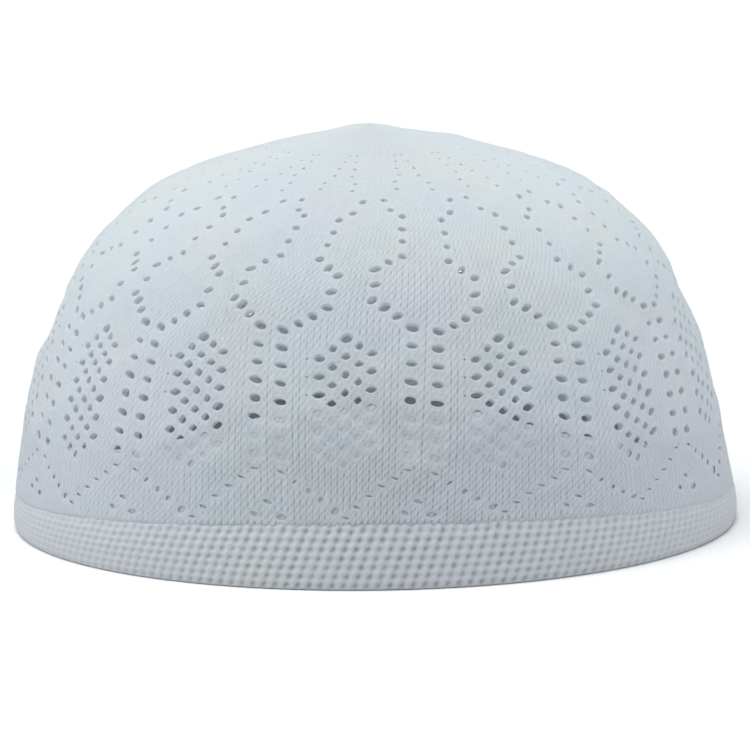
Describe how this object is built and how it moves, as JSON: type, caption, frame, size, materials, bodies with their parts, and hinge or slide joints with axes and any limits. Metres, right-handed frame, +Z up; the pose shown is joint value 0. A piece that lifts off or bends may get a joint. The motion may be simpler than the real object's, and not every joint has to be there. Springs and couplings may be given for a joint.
{
  "type": "knitted prayer cap",
  "caption": "White dome-shaped openwork knitted skullcap (kufi) with eyelet lattices, a softly pointed top and a thick knitted hem, resting on its rim.",
  "frame": {"origin": "centre of the rim, in the plane that the hem rests on", "axes": "+Z up through the tip of the dome, -Y the side that the picture shows as the front"},
  "size_m": [0.1782, 0.1782, 0.0978],
  "materials": {
    "crown": "matt openwork cotton knit, white",
    "hem_band": "matt thick doubled cotton knit, white",
    "inner_facing": "matt plain cotton knit, white"
  },
  "bodies": {
    "root": {"crown": "crown", "hem_band": "hem_band", "inner_facing": "inner_facing"}
  },
  "joints": []
}
